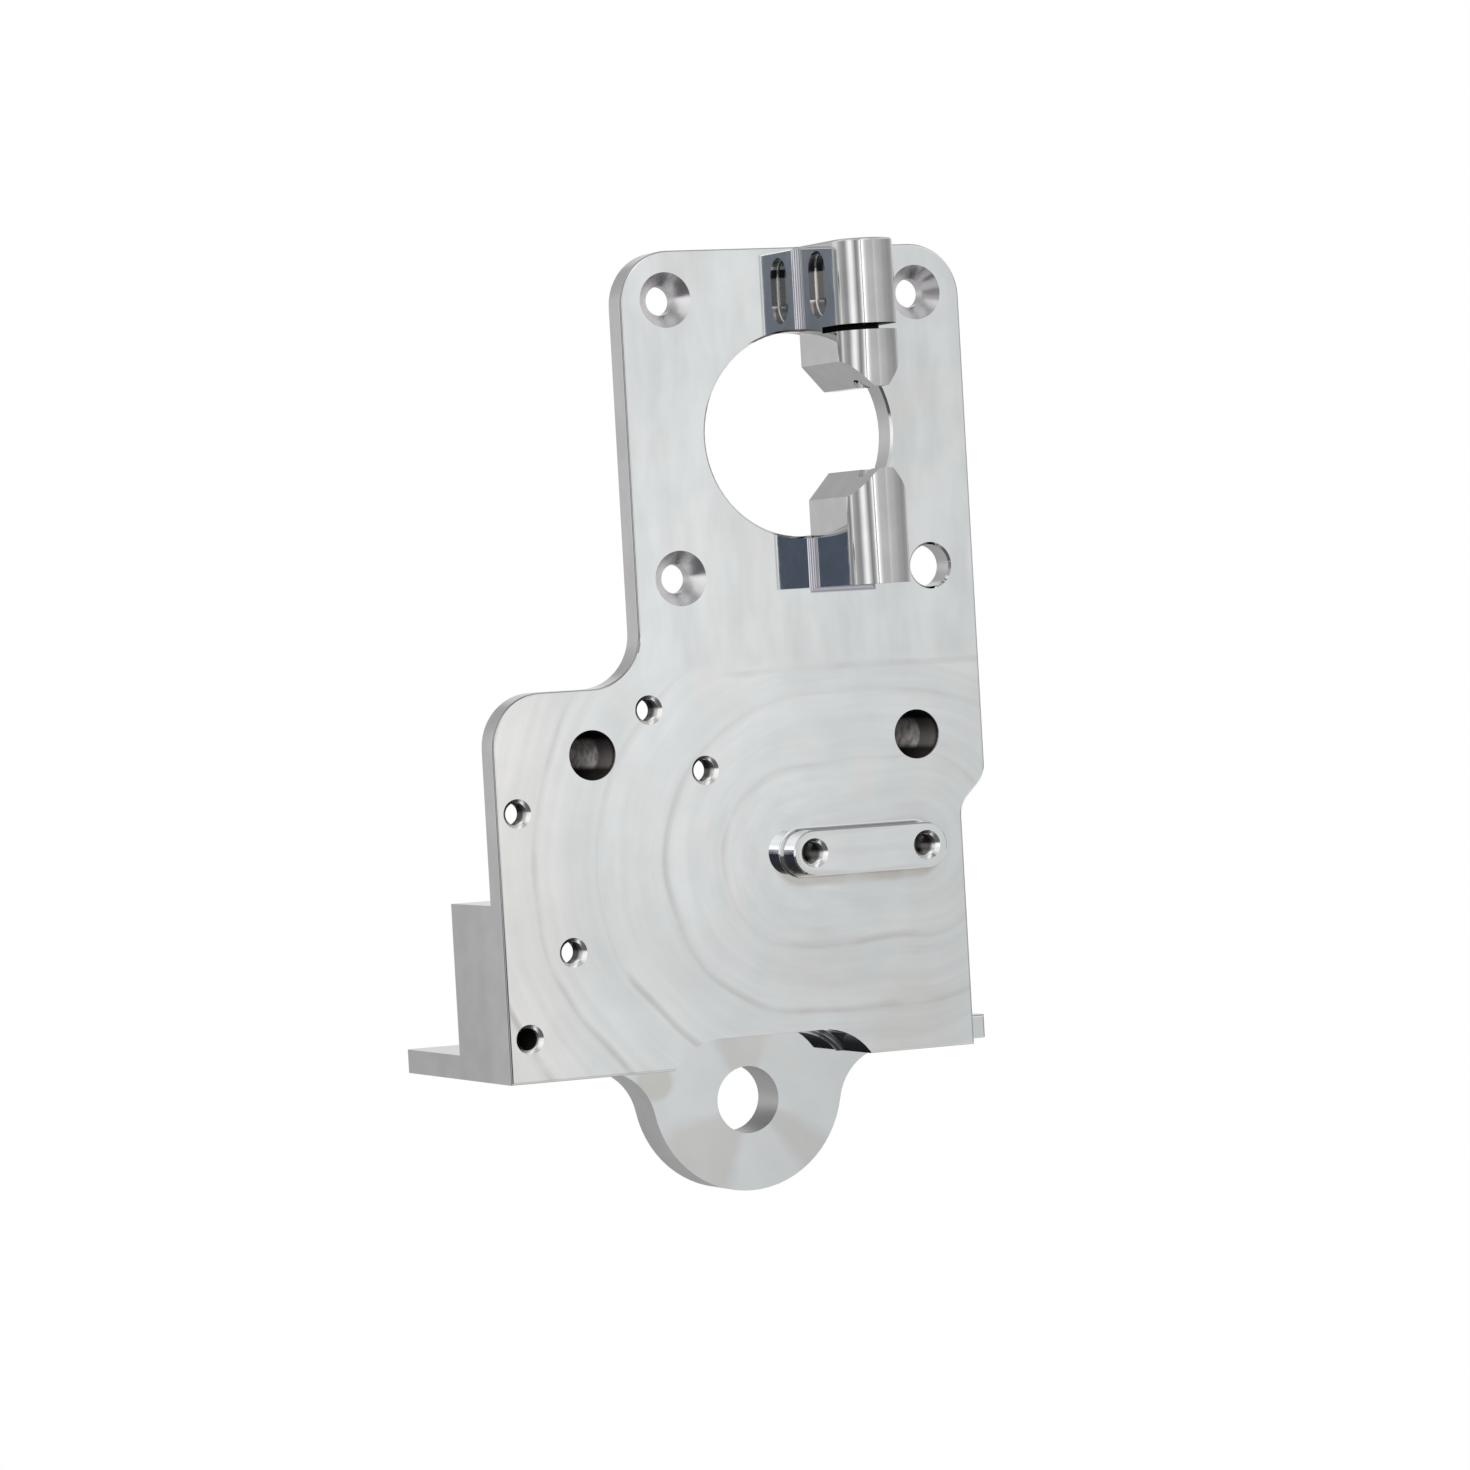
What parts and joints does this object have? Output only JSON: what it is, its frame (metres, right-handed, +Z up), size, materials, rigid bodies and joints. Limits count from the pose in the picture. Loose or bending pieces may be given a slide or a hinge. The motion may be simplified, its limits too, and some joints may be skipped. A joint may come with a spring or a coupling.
{
  "type": "extruder body",
  "caption": "Machined plate body for a 3-D printer's filament extruder, with motor mount, filament bosses, rear flange and hanging lug.",
  "frame": {"origin": "centre of the motor bore, in the rear face of the plate where the motor seats", "axes": "+Z up along the plate towards the two top motor screws, +X to the right seen from the front, +Y to the rear towards the motor"},
  "size_m": [0.0624, 0.0443, 0.1061],
  "materials": {
    "polished_metal": "mirror-polished, with faint machining swirls"
  },
  "bodies": {
    "root": {"extruder_body": "polished_metal"}
  },
  "joints": []
}
